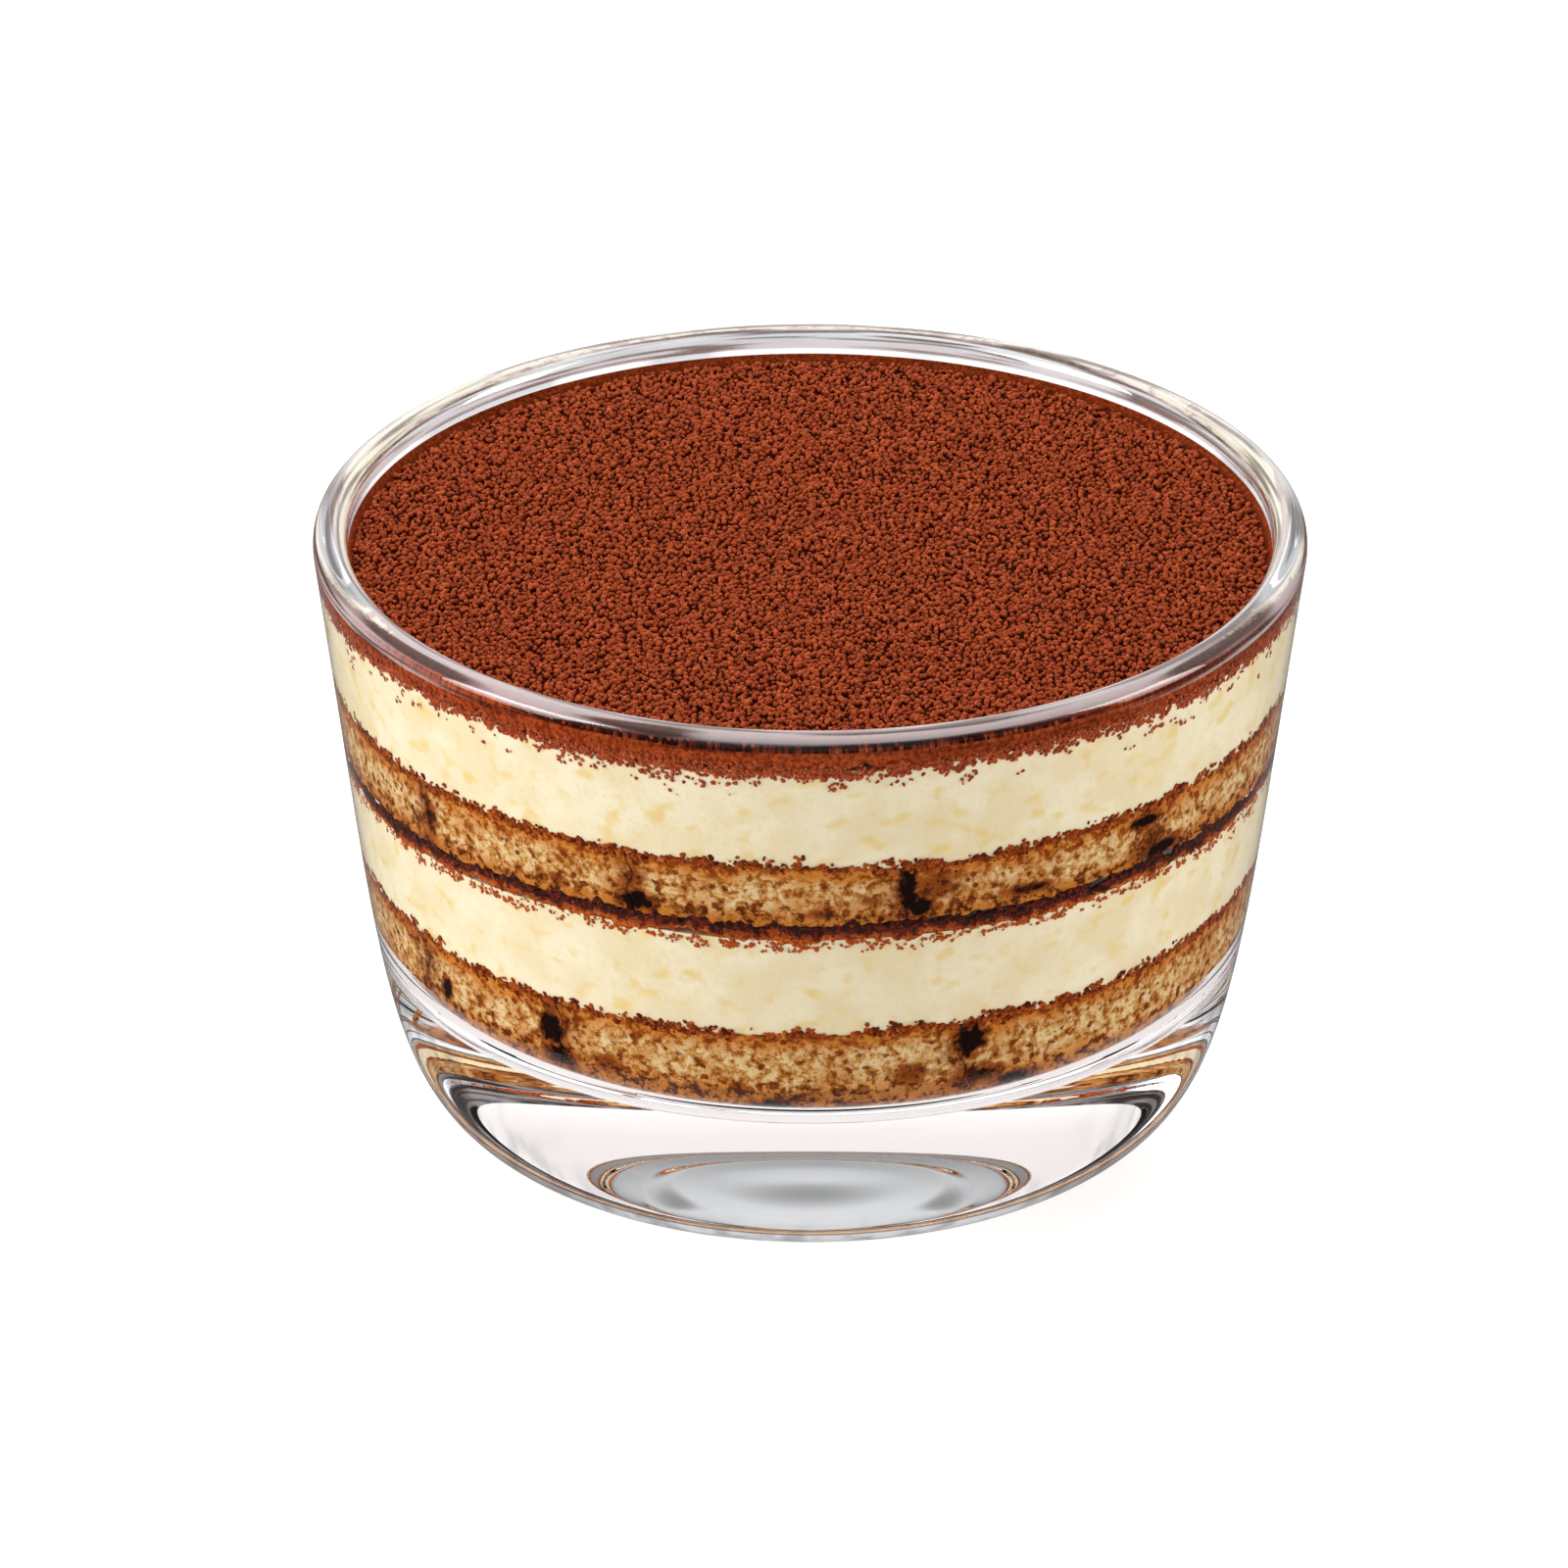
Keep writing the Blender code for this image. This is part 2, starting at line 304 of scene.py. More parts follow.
# 2 would be a round lip, and more is flatter on top
LIP_SQUARENESS = 2.8
# Painted shade: the grey the glass is painted where it is seen edge on
EDGE_ON_PAINTED_SHADE = (0.4, 0.38, 0.38)
FILLET_CENTRE_Z = FLOOR_Z + FLOOR_FILLET


def wall_radius(z):
    """The outer radius of the straight, tapering part of the wall."""
    return RIM_RADIUS - math.tan(TAPER) * (HEIGHT - LIP_RADIUS - z)


FILLET_CENTRE_R = wall_radius(FILLET_CENTRE_Z) - WALL - FLOOR_FILLET / math.cos(TAPER)


def cavity_radius(z, reach=0.0):
    """The radius of the bowl's inside at height z, plus how far a piece reaches past it."""
    z = np.asarray(z, float)
    wall = wall_radius(z) - WALL + reach / math.cos(TAPER)
    arc = FLOOR_FILLET + reach
    drop = FILLET_CENTRE_Z - z
    fillet = FILLET_CENTRE_R + np.sqrt(np.maximum(arc * arc - drop * drop, 0.0))
    return np.where(drop <= arc * math.sin(TAPER), wall, fillet)


def hollow_rise(share):
    """The height of the hollow's roof at a share of its radius."""
    rise = 0.0
    for start, end, height in HOLLOW_STEPS:
        climb = min(max((start - share) / (start - end), 0.0), 1.0)
        rise += height * climb * climb * (3 - 2 * climb)
    return rise


def bowl_profile():
    """Points (r, z) from the axis under the hollow, up the outside, over the lip and in."""
    hollow = [(HOLLOW_RADIUS * s, hollow_rise(s)) for s in np.linspace(0.0, 1.0, 70)]
    shoulder = Vector((wall_radius(SHOULDER_Z), SHOULDER_Z))
    foot = Vector((FOOT_RADIUS, 0.0))
    down = Vector((-math.sin(TAPER), -math.cos(TAPER)))
    flank = geometry.interpolate_bezier(
        foot,
        foot + Vector((FOOT_HANDLE * (shoulder.x - FOOT_RADIUS), 0.0)),
        shoulder + down * WALL_HANDLE * SHOULDER_Z,
        shoulder,
        60,
    )
    lip_z = HEIGHT - LIP_RADIUS
    wall = [(wall_radius(z), z) for z in np.linspace(SHOULDER_Z, lip_z, 30)[1:-1]]
    turn = np.linspace(0.0, math.pi, 40)
    across = np.sign(np.cos(turn)) * np.abs(np.cos(turn)) ** (2 / LIP_SQUARENESS)
    rise = np.abs(np.sin(turn)) ** (2 / LIP_SQUARENESS)
    lip = [
        (RIM_RADIUS - LIP_RADIUS * (1 - c), lip_z + LIP_RADIUS * s) for c, s in zip(across, rise)
    ]
    inner_top = HEIGHT - 2.6 * LIP_RADIUS
    inside = [(float(cavity_radius(z)), z) for z in np.linspace(inner_top, 25.0, 30)]
    turn = np.linspace(-TAPER, -math.pi / 2, 20)
    fillet = [
        (
            FILLET_CENTRE_R + FLOOR_FILLET * math.cos(a),
            FILLET_CENTRE_Z + FLOOR_FILLET * math.sin(a),
        )
        for a in turn
    ]
    floor = [(r, FLOOR_Z) for r in np.linspace(FILLET_CENTRE_R, 0.0, 12)[1:]]
    return hollow + [tuple(p) for p in flank] + wall + lip + inside + fillet + floor


def turned(profile, sides):
    """Points and faces of a profile turned once round Z, with one point on the axis."""
    points = []
    rings = []
    for r, z in profile:
        count = sides if r > 1e-6 else 1
        angles = 2 * np.pi * np.arange(count) / sides
        rings.append((len(points), count))
        points += np.stack([r * np.cos(angles), r * np.sin(angles), angles * 0 + z], 1).tolist()
    faces = []
    for (a, na), (b, nb) in zip(rings, rings[1:]):
        for k in range(sides):
            ring = [a + k % na, a + (k + 1) % na, b + (k + 1) % nb, b + k % nb]
            faces.append(list(dict.fromkeys(ring)))
    return points, faces


def rough(points, grain, seed=0.0):
    """Smooth noise from -1 to 1 at each point, with patches about grain across."""
    scaled = np.asarray(points, float) / grain + seed * 17.3
    return np.array([noise.noise(p) for p in scaled.tolist()])


def clear_glass(name, shine, clear, grey, lines_from=-1.0, white=0.0):
    """Clear glass that lets the light of the lamps straight through to the filling.

    It is painted grey where it is seen edge on, a painted shade, and along painted reflection
    streaks where it is seen from at least lines_from to the side. Shine is how much it mirrors.
    White is how much its polished top, and its sides where they turn away, are painted white:
    a painted reflection that gives light back in all directions.
    """
    glass = Finish(name, Roughness=0.0, IOR=1.5, Transmission_Weight=1.0)
    glass.shader.inputs["Specular Tint"].default_value = (shine, shine, shine, 1.0)
    edge_on = glass.node("ShaderNodeLayerWeight", None, {"Blend": 0.5}, 1)
    # Painted reflection streaks, where the glass is seen from far enough to the side
    painted_streak_pattern = glass.measure("flow") * step(edge_on, lines_from, lines_from + 0.4)
    toned = blend(painted_streak_pattern, clear, grey)
    # Painted shade: the glass is painted grey where it is seen edge on
    glass.set("Base Color", blend(step(edge_on, 0.8, 1.0), toned, EDGE_ON_PAINTED_SHADE))
    mixed = Wire(glass.tree, glass.shader.outputs[0])
    # Painted reflection: a pale, opaque shader mixed in paints the polished top white, and the
    # sides where they turn away
    if white:
        dull = {"Base Color": toned, "Roughness": 0.1}
        pale = glass.node("ShaderNodeBsdfPrincipled", None, dull)
        from_side = step(edge_on, 0.25, 0.6) * (1 - step(edge_on, 0.72, 0.92))
        share = glass.measure("polished") + from_side
        share = share.math("MINIMUM", share, 1.0)
        glass.set("Coat Weight", share)
        mixed = glass.node("ShaderNodeMixShader", None, {0: share * white, 1: mixed, 2: pale})
    # The lamps' light goes straight through
    straight = glass.node("ShaderNodeBsdfTransparent")
    for ray in ("Is Diffuse Ray", "Is Shadow Ray"):
        path = glass.node("ShaderNodeLightPath", output=ray)
        mixed = glass.node("ShaderNodeMixShader", None, {0: path, 1: mixed, 2: straight})
    glass.tree.links.new(mixed.socket, glass.tree.nodes["Material Output"].inputs[0])
    return glass


points, faces = turned(bowl_profile(), BOWL_SIDES)
points = np.array(points)
away = np.hypot(points[:, 0], points[:, 1])
# Painted reflection streaks run round the lip, and the wall above the filling is painted faintly
# grey inside as a painted reflection
painted_streak_pattern = rough(np.column_stack([points[:, :2] / 12, (points[:, 2] * 2 + away) * 1.7]), 1.0, 5)
flow = np.clip(0.3 + 3.0 * painted_streak_pattern, 0, 1) * (points[:, 2] > HEIGHT - 1.3 * LIP_RADIUS)
inner = (away < cavity_radius(points[:, 2]) + 0.3) & (points[:, 2] > HEIGHT - 6)
flow = np.maximum(flow, 0.2 * inner)
# Other painted reflection streaks run down the outside of the heavy base
tall = points * (1, 1, 0.25)
base_painted_streaks = np.clip(0.2 + 1.8 * rough(tall, 2.6, 9) + 1.4 * rough(tall, 1.2, 10), 0, 1)
flow = np.where(points[:, 2] < BASE_TOP, base_painted_streaks, flow)
# Where the lip's polished top is painted white, a painted reflection
polished = np.clip((RIM_RADIUS - 0.1 * LIP_RADIUS - away) / 0.2, 0, 1)
polished *= points[:, 2] > HEIGHT - LIP_RADIUS
body_glass = clear_glass("clear_glass", 0.2, (0.84, 0.84, 0.85), (0.3, 0.29, 0.31))
# The lip's faint blue-grey tint, its dark streaks and its white are painted reflections
lip_glass = clear_glass("polished_lip", 1.0, (0.9, 0.91, 0.94), (0.1, 0.07, 0.06), white=0.4)
lip_glass.shader.inputs["Coat IOR"].default_value = 2.4
# The base is painted with grey reflection streaks where it is seen from the side
base_glass = clear_glass("heavy_base", 0.2, (0.88, 0.9, 0.92), (0.34, 0.34, 0.38), 0.35)
measures = {"flow": flow, "polished": polished}
bowl = add_mesh("pressed_glass_bowl", points, faces, body_glass, measures)
bowl.data.materials.append(lip_glass.material)
bowl.data.materials.append(base_glass.material)
for face in bowl.data.polygons:
    z = face.center.z / MM
    if z > HEIGHT - 1.5 * LIP_RADIUS and face.normal.z > -0.1:
        face.material_index = 1
    elif z < BASE_TOP and face.center.xy.length / MM > FOOT_RADIUS + 0.1:
        face.material_index = 2
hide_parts("glass_bowl")
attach(bowl, "root")


# The mascarpone cream
# Two layers of egg yolk, sugar and mascarpone beaten to a smooth foam and spooned between
# the sponge. The foam shows pale and satin against the glass, with yolk-yellow patches.

LOWER_SPONGE_TOP = 27.5
LOWER_CREAM_TOP = 37.8
UPPER_SPONGE_TOP = 46.1
UPPER_CREAM_TOP = 56.4
WAVE = 0.45
CREAM_REACH = 0.14
CREAM_RINGS = 26
CREAM_SIDES = 900


def boundary(level, seed):
    """A function of x and y for the height of one boundary between layers."""

    def height(x, y):
        angle = np.arctan2(y, x)
        share = np.minimum(np.hypot(x, y) / cavity_radius(level), 1.0)
        swell = (
            0.5 * np.sin(2 * angle + 1.9 * seed)
            + 0.3 * np.sin(5 * angle + 2.7 * seed)
            + 0.2 * np.sin(9 * angle + 0.8 * seed)
        )
        return level + WAVE * swell * share**4

    return height


def loft(rings):
    """Points and faces of a closed body from rings of points, from its foot to its top.

    Both ends are closed by a smaller ring and a middle point.
    """
    count = rings.shape[1]
    points = rings.reshape(-1, 3)
    faces = []
    for row in range(len(rings) - 1):
        a = row * count
        b = a + count
        faces += [
            (a + k, a + (k + 1) % count, b + (k + 1) % count, b + k) for k in range(count)
        ]
    for ring, start, is_top in ((rings[0], 0, False), (rings[-1], len(points) - count, True)):
        middle = ring.mean(0)
        inner = len(points)
        points = np.vstack([points, ring + (middle - ring) * 0.3, middle[None]])
        for k in range(count):
            after = (k + 1) % count
            quad = (start + k, start + after, inner + after, inner + k)
            fan = (inner + k, inner + after, inner + count)
            faces += [quad, fan] if is_top else [quad[::-1], fan[::-1]]
    return points, faces


def cream_layer(name, bottom, top, levels, finish, node_name):
    """One layer of cream, pressed against the glass."""
    angles = np.linspace(0, 2 * np.pi, CREAM_SIDES, endpoint=False)
    rings = []
    for share in np.linspace(0.0, 1.0, CREAM_RINGS):
        level = levels[0] + (levels[1] - levels[0]) * share
        r = cavity_radius(level, CREAM_REACH)
        x, y = r * np.cos(angles), r * np.sin(angles)
        z = bottom(x, y) - 0.12 + (top(x, y) - bottom(x, y) + 0.24) * share
        r = cavity_radius(z, CREAM_REACH)
        rings.append(np.stack([r * np.cos(angles), r * np.sin(angles), z], 1))
    points, faces = loft(np.array(rings))
    made = add_mesh(name, points, faces, finish, sharp=50)
    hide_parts(node_name)
    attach(made, "root")


cream = Finish("mascarpone_cream", Roughness=0.5, Specular_IOR_Level=0.1)
patches = step(cream.cloud(2.4, 1.5, 0.45, (1, 1, 1.3)), 0.52, 0.76)
soft = cream.cloud(5.0)
fine = cream.cloud(0.6)
pale = blend(step(soft, 0.35, 0.65), linear(240, 222, 180), linear(247, 234, 200))
yellow = blend(patches * 0.85, pale, linear(238, 208, 132))
cream.set("Base Color", blend(step(fine, 0.5, 0.75) * 0.3, yellow, linear(232, 209, 160)))
cream.bump(fine, 0.06)

over_lower_sponge = boundary(LOWER_SPONGE_TOP, 1)
over_lower_cream = boundary(LOWER_CREAM_TOP, 2)
over_upper_sponge = boundary(UPPER_SPONGE_TOP, 4)
over_upper_cream = boundary(UPPER_CREAM_TOP, 5)

cream_layer(
    "lower_cream_layer",
    over_lower_sponge,
    over_lower_cream,
    (LOWER_SPONGE_TOP, LOWER_CREAM_TOP),
    cream,
    "lower_cream",
)
cream_layer(
    "upper_cream_layer",
    over_upper_sponge,
    over_upper_cream,
    (UPPER_SPONGE_TOP, UPPER_CREAM_TOP),
    cream,
    "upper_cream",
)


# The sponge fingers
# Two rows of dry sponge fingers dipped in coffee and cut to fit the bowl. The crumb is
# open and beige, with a brown baked crust above and a soaked, darker underside. Its pores
# and holes, and the crumb by the seams, are painted dark as shade.

COFFEE_TOP = 39.6
# Each seam's place to the right of the middle, in front and at the back
UPPER_SEAMS = ((-34.7, -28.0), (-16.2, -10.0), (8.5, 12.0), (30.5, 32.0))
LOWER_SEAMS = ((-34.5, -20.0), (-22.5, 3.0), (14.0, 28.0))
SEAM_WIDTH = 0.12
FINGER_ROUNDING = 0.5
SPONGE_REACH = 0.24
HOLE_DEPTH = 0.12
CRUMB_STEP = 0.25
# The sponge doesn't touch the glass below this height
FLOOR_CONTACT_Z = 20.6
# The floor's fillet hides what is below this height
SPONGE_SHOWS_FROM = FILLET_CENTRE_Z - 1.2
# Holes in the crumb, each painted dark as the shade inside it: distance along the wall from
# the front, height, half the width, half the height, and how dark each is
UPPER_HOLES = (
    (-16.4, 43.2, 0.9, 1.2, 0.55),
    (-16.0, 40.9, 1.7, 1.0, 1.0),
    (8.9, 43.2, 0.8, 2.6, 1.0),
    (10.0, 41.2, 1.5, 1.0, 0.9),
    (11.4, 43.4, 2.2, 1.6, 0.5),
    (33.4, 44.6, 1.8, 0.8, 0.9),
    (34.5, 42.0, 1.4, 1.6, 0.6),
    (35.5, 40.8, 2.8, 0.9, 0.9),
    (-39.5, 42.4, 0.9, 1.6, 0.7),
    (5.6, 42.2, 1.2, 0.6, 0.35),
    (1.2, 40.9, 1.4, 0.5, 0.6),
    (-24.0, 41.4, 0.8, 0.5, 0.5),
    (20.5, 41.2, 2.6, 0.6, 0.7),
)
LOWER_HOLES = (
    (-38.5, 22.8, 0.8, 1.5, 0.9),
    (-24.8, 24.0, 1.3, 1.8, 1.0),
    (-24.0, 21.0, 1.8, 1.4, 0.8),
    (-19.0, 21.6, 1.3, 1.0, 0.55),
    (-3.2, 19.0, 2.0, 0.9, 0.9),
    (3.8, 19.0, 1.4, 0.7, 0.6),
    (9.2, 22.4, 1.6, 1.1, 0.5),
    (14.8, 25.4, 1.5, 1.8, 1.0),
    (15.8, 21.2, 2.4, 1.0, 0.7),
    (19.4, 19.8, 2.2, 0.9, 0.9),
)


def level_at(level):
    """A function of x and y for a boundary that is level all over."""
    return lambda x, y: np.zeros_like(x) + level


def padded_to(points, values, fill=0.0):
    """A number for every point, where values covers only the first of them."""
    return np.concatenate([values, np.full(len(points) - len(values), fill)])


def seam_line(ends, radius):
    """The unit vector across a seam, and the seam's distance from the axis along it."""
    front = np.array([ends[0], -math.sqrt(radius**2 - ends[0] ** 2)])
    back = np.array([ends[1], math.sqrt(radius**2 - ends[1] ** 2)])
    along = (back - front) / np.linalg.norm(back - front)
    across = np.array([along[1], -along[0]])
    return across, float(front @ across)


def seam_points(line, shift, radius, shares):
    """Points on a seam moved sideways by shift: share -1 is its front end, 1 its back."""
    across, offset = line
    along = np.array([-across[1], across[0]])
    offset = offset + shift
    half = math.sqrt(radius**2 - offset**2)
    return across * offset + np.outer(shares * half, along)


def angle_of(point):
    return math.atan2(point[1], point[0])


def contact(z):
    """How far the sponge reaches into the glass: on the bowl's floor it lies on air."""
    share = np.clip((np.asarray(z) - FLOOR_CONTACT_Z) / 1.2, 0.0, 1.0)
    return SPONGE_REACH * share - 0.1 * (1 - share)


def finger_rings(ends, levels, bottom, top):
    """Rings of points of one finger, and for each point how far it is from a seam."""
    low, high = levels
    middle = float(cavity_radius((low + high) / 2))
    left, right = (None if end is None else seam_line(end, middle) for end in ends)
    count = max(8, round((high - low) / CRUMB_STEP))
    side_shares = -np.cos(np.linspace(0, np.pi, 56))[1:-1]
    tips = np.array([-1.0, 1.0])
    arc_counts = None
    rings = []
    from_seam = []
    for share in np.linspace(0.0, 1.0, count):
        level = low + (high - low) * share
        radius = float(cavity_radius(level, contact(level)))
        edge = min(min(level - low, high - level) / FINGER_ROUNDING, 1.0)
        inset = SEAM_WIDTH / 2 + FINGER_ROUNDING * (1 - math.sqrt(1 - (1 - edge) ** 2))
        if left is not None:
            sway = 0.3 * math.sin(1.7 * level + ends[0][0])
            left_side = seam_points(left, inset + sway, radius, side_shares[::-1])
            left_tips = [angle_of(p) for p in seam_points(left, inset + sway, radius, tips)]
        if right is not None:
            sway = 0.3 * math.sin(1.7 * level + ends[1][0])
            right_side = seam_points(right, sway - inset, radius, side_shares)
            right_tips = [angle_of(p) for p in seam_points(right, sway - inset, radius, tips)]
        if left is None:
            arcs = [(right_tips[1], right_tips[0] % (2 * math.pi))]
        elif right is None:
            arcs = [tuple(left_tips)]
        else:
            arcs = [(left_tips[0], right_tips[0]), (right_tips[1], left_tips[1])]
        if arc_counts is None:
            arc_counts = [max(6, round((b - a) * middle / CRUMB_STEP)) for a, b in arcs]
        parts = []
        distances = []
        for (a, b), n in zip(arcs, arc_counts):
            angles = np.linspace(a, b, n + 1)
            parts.append(radius * np.stack([np.cos(angles), np.sin(angles)], 1))
            distances.append(radius * np.minimum(angles - a, b - angles))
            if right is not None and len(parts) == 1:
                parts.append(right_side)
                distances.append(np.zeros(len(side_shares)))
        if left is not None:
            parts.append(left_side)
            distances.append(np.zeros(len(side_shares)))
        x, y = np.concatenate(parts).T
        z = bottom(x, y) + (top(x, y) - bottom(x, y)) * share
        rings.append(np.stack([x, y, z], 1))
        from_seam.append(np.concatenate(distances))
    return np.array(rings), np.array(from_seam).reshape(-1)


def hole_depth(points, holes):
    """How deep the points lie in the holes: 0 is the surface, and 1 a hole's dark middle."""
    x, y, z = points.T
    along = cavity_radius(z) * (np.arctan2(y, x) + np.pi / 2)
    wobble = 0.5 * rough(points, 0.7, 20) + 0.3 * rough(points, 0.35, 21)
    depth = np.zeros(len(points))
    for place, height, half_width, half_height, dark in holes:
        away = np.hypot((along - place) / half_width, (z - height) / half_height)
        depth = np.maximum(depth, dark * np.clip(1.6 - away * 1.1 + wobble, 0, 1))
    return depth


def sponge_finger(name, ends, levels, bottom, top, holes, finish, node_name):
    """One finger, with the holes of the crumb where it is pressed against the glass."""
    rings, from_seam = finger_rings(ends, levels, bottom, top)
    flat = rings.reshape(-1, 3)
    x, y, z = flat.T
    under = z - np.maximum(bottom(x, y), SPONGE_SHOWS_FROM)
    below = top(x, y) - z
    near_edge = np.clip(1 - np.minimum(below, under) / 0.8, 0, 1)
    z = z + (0.3 * rough(flat, 0.9, 1) + 0.2 * rough(flat, 2.3, 2)) * near_edge
    hole = hole_depth(flat, holes)
    r = np.hypot(x, y)
    above_fillet = np.clip((z - FILLET_CENTRE_Z + 1) / 2, 0, 1)
    pressed = r > cavity_radius(z) - 0.4
    r_new = np.minimum(r, cavity_radius(z, contact(z)))
    r_new = r_new - np.where(pressed, HOLE_DEPTH * hole * above_fillet, 0)
    flat = np.stack([x * r_new / r, y * r_new / r, z], 1)
    points, faces = loft(flat.reshape(rings.shape))
    measures = {
        "under": padded_to(points, under),
        "below": padded_to(points, below),
        "from_seam": padded_to(points, from_seam),
        "hole": padded_to(points, hole),
    }
    made = add_mesh(name, points, faces, finish, measures, 60)
    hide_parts(node_name)
    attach(made, "root")


sponge = Finish("soaked_sponge", Roughness=0.8, Specular_IOR_Level=0.05)
web = sponge.cloud(0.95, 5.0, 0.72)
blots = sponge.cloud(1.5)
tone = sponge.cloud(4.0)
pores = sponge.cells(1.2)
fray = (web - 0.5) * 2.4 + (blots - 0.5) * 2.4
under = sponge.measure("under") + fray
below = sponge.measure("below") + fray
crumb_stops = (
    (0.35, linear(118, 54, 14)),
    (0.43, linear(190, 118, 48)),
    (0.5, linear(214, 166, 98)),
    (0.58, linear(241, 215, 162)),
)
crumb = node(sponge.tree, "ShaderNodeValToRGB", {"stops": crumb_stops}, {0: web})
gold = blend(step(web, 0.4, 0.58), linear(136, 60, 12), linear(212, 134, 50))
golden = blend(step(tone, 0.46, 0.62) * 0.6, crumb, gold)
edge = under.math("MINIMUM", under, below)
golden = blend((1 - step(edge, 0.6, 3.0)) * 0.8, golden, gold)
# Painted shade in the pores, which grow larger towards the soaked underside
pit_size = 0.24 + (1 - step(under, 0.3, 3.2)) * 0.28
pit = (1 - step(pores + (web - 0.5) * 0.8 - pit_size, -0.06, 0.08)) * step(blots, 0.4, 0.5)
pitted = blend(pit * 0.9, golden, linear(112, 40, 10))
crust = 1 - step(below, 0.6, 2.4)
baked = blend(step(web, 0.4, 0.56), linear(138, 58, 14), linear(214, 130, 44))
crusted = blend(crust * 0.85, pitted, baked)
rind = 1 - step(below, -0.2, 0.7)
rinded = blend(rind * 0.85, crusted, linear(112, 40, 16))
soaked = (1 - step(under, 0.3, 2.2)) * 0.85
soggy = blend(step(web, 0.42, 0.54), linear(66, 22, 8), linear(204, 122, 44))
wet = blend(soaked, rinded, soggy)
# Painted shade: the crumb is painted darker towards the seams, where the fingers meet
by_seam = 1 - step(sponge.measure("from_seam") + fray, 0.0, 2.6)
seam_and_hole_shade = blend(step(web, 0.4, 0.56), linear(66, 24, 9), linear(164, 84, 28))
seam_shaded = blend(by_seam * 0.85, wet, seam_and_hole_shade)
hole = sponge.measure("hole") + (web - 0.5) * 1.2
# Painted shade: each hole's rim takes the painted shade brown and its middle is painted near
# black
shaded = blend(step(hole, 0.05, 0.4), seam_shaded, seam_and_hole_shade)
sponge.set("Base Color", blend(step(hole, 0.45, 0.8), shaded, linear(24, 8, 4)))
sponge.bump(web * 0.9 + step(pores, 0.05, 0.4) * 0.4, 0.4)


def sponge_row(row, seams, levels, bottom, top, holes):
    """The fingers of one row, from left to right, parted by its seams."""
    edges = (None,) + seams + (None,)
    for i, ends in enumerate(zip(edges, edges[1:]), 1):
        piece, solid = f"{row}_sponge_{i}", f"{row}_finger_{i}"
        sponge_finger(piece, ends, levels, bottom, top, holes, sponge, solid)


over_coffee = boundary(COFFEE_TOP, 2)

sponge_row(
    "lower",
    LOWER_SEAMS,
    (FLOOR_Z + 0.1, LOWER_SPONGE_TOP),
    level_at(FLOOR_Z + 0.1),
    over_lower_sponge,
    LOWER_HOLES,
)
sponge_row(
    "upper",
    UPPER_SEAMS,
    (COFFEE_TOP, UPPER_SPONGE_TOP),
    over_coffee,
    over_upper_sponge,
    UPPER_HOLES,
)


# The coffee layer
# Coffee runs out of the upper fingers and gathers under them with loose cocoa as a thin,
# dark, wet band that sinks unevenly into the cream below.

COFFEE_REACH = 0.3
COFFEE_RINGS = 12
COFFEE_SIDES = 1050

coffee = Finish("coffee_and_cocoa", Roughness=0.25, Specular_IOR_Level=0.12)
specks = coffee.cloud(0.5, 2.0, 0.6)
blots = coffee.cloud(1.8)
depth = coffee.measure("up") + (specks - 0.5) * 1.6 + (blots - 0.5) * 1.0
wet = blend(step(specks, 0.46, 0.66), linear(34, 6, 2), linear(110, 28, 6))
bled = blend(step(specks, 0.4, 0.6), linear(150, 56, 12), linear(214, 114, 36))
coffee.set("Base Color", blend(step(depth, 0.15, 0.42), bled, wet))
coffee.bump(specks, 0.3)

angles = np.linspace(0, 2 * np.pi, COFFEE_SIDES, endpoint=False)
rings = []
ups = []
for share in np.linspace(0.0, 1.0, COFFEE_RINGS):
    level = LOWER_CREAM_TOP + (COFFEE_TOP - LOWER_CREAM_TOP) * share
    r = cavity_radius(level, COFFEE_REACH)
    x, y = r * np.cos(angles), r * np.sin(angles)
    rim = np.stack([x, y, x * 0], 1)
    sag = 0.6 * rough(rim, 0.6, 6) + 0.9 * rough(rim, 3.5, 7) - 0.1
    rise = 0.25 + 0.9 * rough(rim, 0.7, 8) + 0.8 * rough(rim, 2.5, 9)
    low = over_lower_cream(x, y) + sag
    high = over_coffee(x, y) + rise
    z = low + (high - low) * share
    bulge = COFFEE_REACH - 0.45 * (2 * share - 1) ** 6
    r = cavity_radius(z, 0.0) + bulge
    rings.append(np.stack([r * np.cos(angles), r * np.sin(angles), z], 1))
    ups.append(np.full(len(angles), share))
points, faces = loft(np.array(rings))
ups = padded_to(points, np.concatenate(ups), 1.0)
coffee_band = add_mesh("coffee_band", points, faces, coffee, {"up": ups}, 60)
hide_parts("coffee_layer")
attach(coffee_band, "root")


# The sifted cocoa
# Cocoa powder sifted over the top layer of cream. Damp from below, it gathers in small
# round clumps with dark pits between them, ragged where it meets the glass. The bed in
# the pits is painted dark, a painted shade that deepens their real shade.

COCOA_TOP = 57.7
COCOA_REACH = 0.17
BED_COUNT = 260
# How far the cocoa climbs up the glass
DUST_RING = 0.5
# How much of the finer dust shows by the glass, from 0 to 1
EDGE_DUST = 0.75
CLUMP_SPACING = 0.6


def disc_grid(count):
    """Points of a square grid pressed into a unit disc, row by row."""
    u, v = np.meshgrid(np.linspace(-1, 1, count), np.linspace(-1, 1, count))
    x = u * np.sqrt(1 - v * v / 2)
    y = v * np.sqrt(1 - u * u / 2)
    return np.stack([x.ravel(), y.ravel()], 1)


